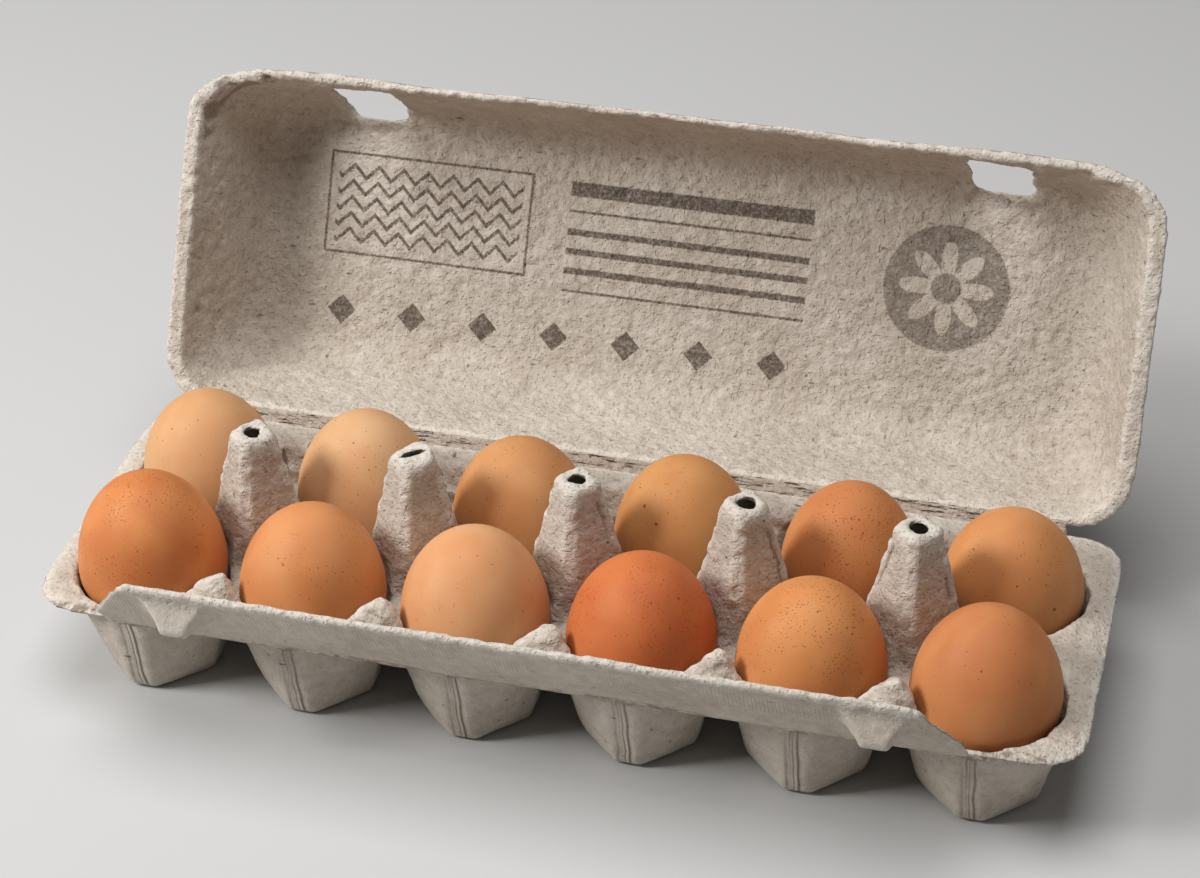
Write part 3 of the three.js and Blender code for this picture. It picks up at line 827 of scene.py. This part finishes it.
# %% Flap material
flap_paper, tree, colour, height, rough = pulp_material("flap_paper", LIGHT_PULP, DARK_PULP, 0.4)
place = tree.place_mm()
x, y, z = tree.add("ShaderNodeSeparateXYZ", {0: place}).outputs
RIB_STEP = 1.05
ribs = tree.math("SINE", tree.math("MULTIPLY", x, 2 * math.pi / RIB_STEP))
fade = tree.between(tree.noise(place, 0.05, 1), 0.36, 0.56)
band = tree.math("MULTIPLY", tree.between(z, 40, 44), tree.between(rough, 0.1, 0.4, 1, 0))
for hook_x in HOOKS:
    past_hook = tree.math("ABSOLUTE", tree.math("SUBTRACT", x, hook_x))
    band = tree.math("MULTIPLY", band, tree.between(past_hook, 9, 13))
ribs = tree.math("MULTIPLY", ribs, tree.math("MULTIPLY", fade, band))
height = tree.math("ADD", height, tree.math("MULTIPLY", ribs, 0.06))
# Brown line along the flap's crease: torn fibres and painted shade of the crease.
torn_and_shaded = tree.math("MULTIPLY", tree.between(z, 31.5, 34.5, 1, 0),
                 tree.between(tree.noise(place, 0.35, 3, 0.6), 0.42, 0.62))
colour = tree.mix(tree.math("MULTIPLY", torn_and_shaded, 0.65), colour, shade(112, 88, 68))
finish_pulp(tree, colour, height)
flap.data.materials.append(flap_paper)
print("flap material:", len(tree.nodes), "nodes")

# %% [markdown]
# ## The print inside the lid
# The lid carries a plain pattern in dark ink: a framed field of zigzags, long bars, a row
# of lozenges and a round field with petals. Each shape is a mask worked out from the place
# on the lid. A Mapping node turns the object's coordinates so that its X runs along the lid
# and its Y up the lid, because the lid leans back.

# %% Print shapes
def bar(tree, x, w, left, right, low, high, soft=0.25):
    """A rectangle, as the product of four soft edges."""
    across = tree.math("MULTIPLY", tree.between(x, left - soft, left + soft),
                       tree.between(x, right - soft, right + soft, 1, 0))
    along = tree.math("MULTIPLY", tree.between(w, low - soft, low + soft),
                      tree.between(w, high - soft, high + soft, 1, 0))
    return tree.math("MULTIPLY", across, along)


def together(tree, masks):
    """The highest of several masks."""
    total = masks[0]
    for mask in masks[1:]:
        total = tree.math("MAXIMUM", total, mask)
    return total


def zigzag_panel(tree, x, w, left, right, low, high):
    """A thin frame filled with even zigzag lines."""
    full = bar(tree, x, w, left, right, low, high)
    frame_line = tree.math("SUBTRACT", full, bar(
        tree, x, w, left + 0.8, right - 0.8, low + 0.8, high - 0.8))
    swung = tree.math("ADD", w, tree.math("PINGPONG", tree.math("SUBTRACT", x, left), 4.0))
    inner = bar(tree, x, swung, left + 3, right - 3, low + 5.5, high - 1.5)
    rows = tree.between(tree.math("PINGPONG", swung, 2.5), 1.6, 1.9)
    return tree.math("MAXIMUM", frame_line, tree.math("MULTIPLY", inner, rows))


def lozenges(tree, x, w, left, right, middle_w, step, size):
    """A row of diamonds between two X places."""
    local = tree.math("PINGPONG", tree.math("SUBTRACT", x, left), step / 2)
    reach = tree.math("ADD", local, tree.math("ABSOLUTE", tree.math("SUBTRACT", w, middle_w)))
    diamonds = tree.between(reach, size - 0.25, size + 0.25, 1, 0)
    return tree.math("MULTIPLY", diamonds, bar(
        tree, x, w, left - step / 2, right, middle_w - size, middle_w + size))


def petal_disc(tree, x, w, middle_x, middle_w, radius):
    """A round field with a ring of petals and a round centre left bare."""
    dx = tree.math("SUBTRACT", x, middle_x)
    dw = tree.math("SUBTRACT", w, middle_w)
    away = tree.math("SQRT", tree.math("ADD", tree.math("MULTIPLY", dx, dx),
                                       tree.math("MULTIPLY", dw, dw)))
    turn = tree.math("ARCTAN2", dw, dx)
    lobes = tree.math("ABSOLUTE", tree.math("COSINE", tree.math("MULTIPLY", turn, 4)))
    edge = tree.math("MULTIPLY", tree.math("ADD", tree.math("MULTIPLY", lobes, 0.5), 0.25), radius)
    disc = tree.between(away, radius - 0.3, radius + 0.3, 1, 0)
    petals = tree.math("MULTIPLY", tree.between(tree.math("SUBTRACT", edge, away), -0.3, 0.3),
                       tree.between(away, radius * 0.22, radius * 0.26))
    return tree.math("MULTIPLY", disc, tree.math("SUBTRACT", 1.0, petals))


# %% Print the lid
lid_paper, tree, colour, height, rough = pulp_material("lid_paper", LIGHT_PULP, DARK_PULP, 0.6)
coords = tree.add("ShaderNodeTexCoord").outputs["Object"]
flat = tree.add("ShaderNodeMapping", {
    "Vector": coords, "Location": (0, -39.303, 5.064), "Rotation": (math.radians(-62), 0, 0),
    "Scale": (1000, 1000, 1000)}).outputs[0]
place = tree.place_mm()
x, w, minus_depth = tree.add("ShaderNodeSeparateXYZ", {0: flat}).outputs
fray = tree.between(tree.noise(place, 1.6, 2), 0.3, 0.7, -0.14, 0.14)
x = tree.math("ADD", x, fray)
w = tree.math("ADD", w, tree.math("SUBTRACT", 0.1, fray))
ink = together(tree, [
    zigzag_panel(tree, x, w, -112, -46, 49.5, 81.5),
    bar(tree, x, w, -34, 42, 76, 80.5), bar(tree, x, w, -34, 42, 71, 71.8),
    bar(tree, x, w, -34, 42, 64, 66), bar(tree, x, w, -34, 42, 58, 60),
    bar(tree, x, w, -34, 42, 52, 54), bar(tree, x, w, -34, 42, 46.4, 47.2),
    lozenges(tree, x, w, -104, 38, 32, 23.0, 4.6),
    tree.math("MULTIPLY", petal_disc(tree, x, w, 84, 62, 19), 0.72)])
inside = tree.math("MULTIPLY", tree.between(rough, 0.5, 0.8),
                   tree.between(minus_depth, -30, -32, 0, 1))
worn = tree.between(tree.noise(place, 0.9, 4, 0.7), 0.36, 0.56, 0.58, 0.92)
ink = tree.math("MULTIPLY", tree.math("MULTIPLY", ink, inside), worn)
colour = tree.mix(ink, colour, shade(92, 80, 70))
finish_pulp(tree, colour, height)
lid.data.materials.append(lid_paper)
print("lid material:", len(tree.nodes), "nodes")

# %% [markdown]
# ## The eggs
# An egg is a ball drawn out at one end. A UV sphere is scaled to the cell's egg, and points
# below its middle are pulled in towards the small end, which stands in the cup. The solid
# eggs give every size, so each one is measured and its lean is found from its own points.

# %% Form the eggs
EGG_TAPER = 0.12


def egg_axis(node):
    """The egg's middle and long axis, from the spread of the solid's points."""
    points = np.array([v.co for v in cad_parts[node].data.vertices])
    middle = (points.max(0) + points.min(0)) / 2
    _, _, directions = np.linalg.svd(points - points.mean(0), full_matrices=False)
    axis = Vector(directions[0])
    return Vector(middle), axis if axis.z > 0 else -axis


def make_egg(number):
    node = f"egg_{number:02d}"
    middle, axis = egg_axis(node)
    low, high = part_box(node)
    form = bmesh.new()
    bmesh.ops.create_uvsphere(form, u_segments=48, v_segments=32, radius=0.5)
    bmesh.ops.scale(form, vec=(high.x - low.x, high.x - low.x, high.z - low.z), verts=form.verts)
    half = (high.z - low.z) / 2
    for vertex in form.verts:
        down = max(0.0, -vertex.co.z / half)
        vertex.co.x *= 1 - EGG_TAPER * down
        vertex.co.y *= 1 - EGG_TAPER * down
    bmesh.ops.rotate(form, matrix=Vector((0, 0, 1)).rotation_difference(axis).to_matrix(),
                     verts=form.verts)
    bmesh.ops.translate(form, vec=middle, verts=form.verts)
    bmesh.ops.subdivide_edges(form, edges=form.edges, cuts=1, use_grid_fill=True, smooth=1.0)
    egg = new_object(f"shell_{number:02d}", form)
    egg.data.shade_smooth()
    return egg


eggs = {number: make_egg(number) for number in range(1, 13)}
print("eggs:", len(eggs), "with", len(eggs[1].data.polygons), "faces each")

# %% [markdown]
# ## Egg shells
# A brown shell is a matt glaze over chalk: a cloudy orange brown, tiny darker speckles, and
# pores that break the shine. Most speckles sit at the blunt end, which is up here. No two
# eggs are alike, so a shared group takes the two shades, the number of speckles and a seed
# that moves the pattern.

# %% Shell group
def shell_group():
    group, tree = new_group("shell", ("Light", "Dark"), ("Speckles",), ("Seed",))
    given = tree.add("NodeGroupInput").outputs
    coords = tree.add("ShaderNodeTexCoord").outputs["Object"]
    place = tree.add("ShaderNodeVectorMath", {0: coords, 1: (1000, 1000, 1000), 2: given["Seed"]},
                     operation="MULTIPLY_ADD").outputs[0]
    cloud = tree.noise(place, 0.05, 2)
    fine = tree.noise(place, 2.2, 3, 0.6)
    tone = tree.math("ADD", tree.math("MULTIPLY", cloud, 0.8), tree.math("MULTIPLY", fine, 0.2))
    colour = tree.mix(tree.between(tone, 0.35, 0.65), given["Dark"], given["Light"])
    patch = tree.between(tree.noise(place, 0.06, 1), 0.38, 0.62)
    blunt_end = tree.add("ShaderNodeSeparateXYZ", {0: coords}).outputs["Z"]
    patch = tree.math("MULTIPLY", patch, tree.between(blunt_end, 0.035, 0.058, 0.5, 1.5))
    specks = None
    for cell, share, least, most in (
            (0.8, 0.42, 0.12, 0.26), (1.9, 0.18, 0.08, 0.17), (4.2, 0.12, 0.07, 0.13)):
        dots = tree.add("ShaderNodeTexVoronoi", {"Vector": place, "Scale": 1 / cell})
        pick = tree.add("ShaderNodeSeparateColor", {0: dots.outputs["Color"]}).outputs
        limit = tree.math("MULTIPLY", tree.math("MULTIPLY", given["Speckles"], share), patch)
        chosen = tree.math("LESS_THAN", pick[0], limit)
        size = tree.between(pick[1], 0, 1, least, most)
        dot = tree.math("LESS_THAN", dots.outputs["Distance"], size)
        dot = tree.math("MULTIPLY", dot, chosen)
        specks = dot if specks is None else tree.math("MAXIMUM", specks, dot)
    colour = tree.mix(tree.math("MULTIPLY", specks, 0.72), colour, shade(104, 52, 24))
    tree.add("NodeGroupOutput", {"Color": colour, "Height": fine})
    return group


SHELL = shell_group()
print("shell group:", len(SHELL.nodes), "nodes")

# %% [markdown]
# ## Twelve shells
# Each egg has its light and dark shade and its number of speckles. A little light goes into
# a shell and comes out beside, so the shader has some subsurface light.

# %% Shell materials
SHELLS = {
    1: ((213, 140, 84), (195, 117, 66), 2.6), 2: ((209, 142, 91), (199, 127, 76), 0.5),
    3: ((216, 161, 115), (208, 146, 98), 0.2), 4: ((202, 116, 66), (187, 98, 54), 1.5),
    5: ((210, 142, 86), (198, 125, 73), 2.4), 6: ((201, 134, 84), (189, 117, 71), 0.4),
    7: ((211, 164, 118), (204, 149, 103), 0.2), 8: ((211, 167, 124), (204, 152, 108), 0.3),
    9: ((202, 147, 98), (191, 130, 81), 0.5), 10: ((199, 142, 88), (188, 126, 75), 0.4),
    11: ((201, 136, 84), (190, 118, 70), 2.2), 12: ((208, 145, 92), (196, 130, 79), 0.7),
}


def shell_material(number):
    light, dark, speckles = SHELLS[number]
    material = bpy.data.materials.new(f"shell_glaze_{number:02d}")
    material.use_nodes = True
    tree = Tree(material.node_tree)
    shader = tree.nodes["Principled BSDF"]
    look = tree.add("ShaderNodeGroup", node_tree=SHELL)
    look.inputs["Light"].default_value = shade(*light)
    look.inputs["Dark"].default_value = shade(*dark)
    look.inputs["Speckles"].default_value = speckles
    look.inputs["Seed"].default_value = (number * 13.1, number * 7.7, number * 3.3)
    bump = tree.add("ShaderNodeBump", {"Height": look.outputs["Height"], "Strength": 0.25,
                                       "Distance": 0.1 * MM})
    tree.links.new(look.outputs["Color"], shader.inputs["Base Color"])
    tree.links.new(bump.outputs[0], shader.inputs["Normal"])
    shader.inputs["Roughness"].default_value = 0.58
    shader.inputs["Specular IOR Level"].default_value = 0.2
    shader.inputs["Subsurface Weight"].default_value = 0.15
    shader.inputs["Subsurface Radius"].default_value = (1.0, 0.4, 0.15)
    shader.inputs["Subsurface Scale"].default_value = 4 * MM
    return material


for number, egg in eggs.items():
    egg.data.materials.append(shell_material(number))
print("shell materials:", len(eggs))

# %% [markdown]
# ## The two creases
# Tray, lid and flap are one sheet, and it bends along two creases of thinned, cracked pulp.
# A row of points across the crease is extruded step by step along X, with a little wander,
# and a Solidify modifier gives the strip its thickness.

# %% Form the creases
CREASE_THICK = 0.9


def crease_strip(name, profile, low_x, high_x, seed):
    """A strip that follows the profile of (y, z) points, in millimetres, along X."""
    form = bmesh.new()
    row = [form.verts.new((low_x * MM, y * MM, z * MM)) for y, z in profile]
    edges = [form.edges.new(pair) for pair in zip(row, row[1:])]
    steps = int((high_x - low_x) / 2.0)
    step = (high_x - low_x) / steps * MM
    for index in range(steps):
        made = bmesh.ops.extrude_edge_only(form, edges=edges)["geom"]
        edges = [part for part in made if isinstance(part, bmesh.types.BMEdge)
                 and all(v in made for v in part.verts)]
        verts = list({v for edge in edges for v in edge.verts})
        bmesh.ops.translate(form, vec=(step, 0, 0), verts=verts)
    for vertex in form.verts:
        place = Vector((vertex.co.x / MM / 6 + seed, vertex.co.y / MM / 3, 0.5))
        wander = Vector((0, noise.noise(place), noise.noise(place + Vector((0, 0, 9)))))
        vertex.co += wander * 0.25 * MM
    bmesh.ops.recalc_face_normals(form, faces=form.faces)
    strip = new_object(name, form)
    wall = strip.modifiers.new("wall", "SOLIDIFY")
    wall.thickness = CREASE_THICK * MM
    wall.offset = 0
    soft = strip.modifiers.new("soft", "SUBSURF")
    soft.levels = soft.render_levels = 1
    apply_modifiers(strip)
    strip.data.shade_smooth()
    store(strip.data, "rough", np.ones(len(strip.data.vertices)))
    # A hollow of 0.75 all along makes the material paint the whole strip a little darker, a painted
    # shade in the crease.
    store(strip.data, "hollow", np.full(len(strip.data.vertices), 0.75))
    print(name, "faces:", len(strip.data.polygons))
    return strip


lid_crease = crease_strip("lid_crease", [
    (21.6, 30.4), (22.5, 30.0), (23.1, 30.5), (23.7, 31.6), (24.4, 32.7), (25.0, 34.0)],
    -131, 131, 0.0)
flap_crease = crease_strip("flap_crease", [
    (-76.9, 30.7), (-77.9, 30.2), (-78.6, 29.9), (-79.1, 30.4), (-79.8, 31.4)],
    -117, 116, 40.0)
crease_paper, tree, colour, height, _ = pulp_material("crease_paper", LIGHT_PULP, DARK_PULP, 0.9)
coords = tree.add("ShaderNodeTexCoord").outputs["Object"]
stretched = tree.add("ShaderNodeMapping", {"Vector": coords, "Scale": (140, 1500, 1500)}).outputs[0]
# Dark cracks along the crease: painted shade inside the cracks.
cracks_with_shade = tree.between(tree.noise(stretched, 1.0, 4, 0.7), 0.38, 0.44, 1, 0)
colour = tree.mix(cracks_with_shade, colour, shade(84, 68, 56))
height = tree.math("SUBTRACT", height, tree.math("MULTIPLY", cracks_with_shade, 0.6))
finish_pulp(tree, colour, height)
for crease in (lid_crease, flap_crease):
    crease.data.materials.append(crease_paper)

# %% [markdown]
# ## Joining the pieces to the moving model
# Each piece takes the place of its solid and rides on the body that carries it, so the lid
# and the flap take their pulp with them when they turn.

# %% Ride and replace
for piece, node, body in (
        (tray, "tray", "tray"), (lid, "lid", "lid"), (flap, "front_flap", "flap")):
    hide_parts(node)
    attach(piece, body)
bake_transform(lid_crease)
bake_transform(flap_crease)
for number, egg in eggs.items():
    node = f"egg_{number:02d}"
    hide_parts(node)
    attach(egg, "tray")
print("pieces:", 3 + len(eggs), "on bodies, 2 between them")
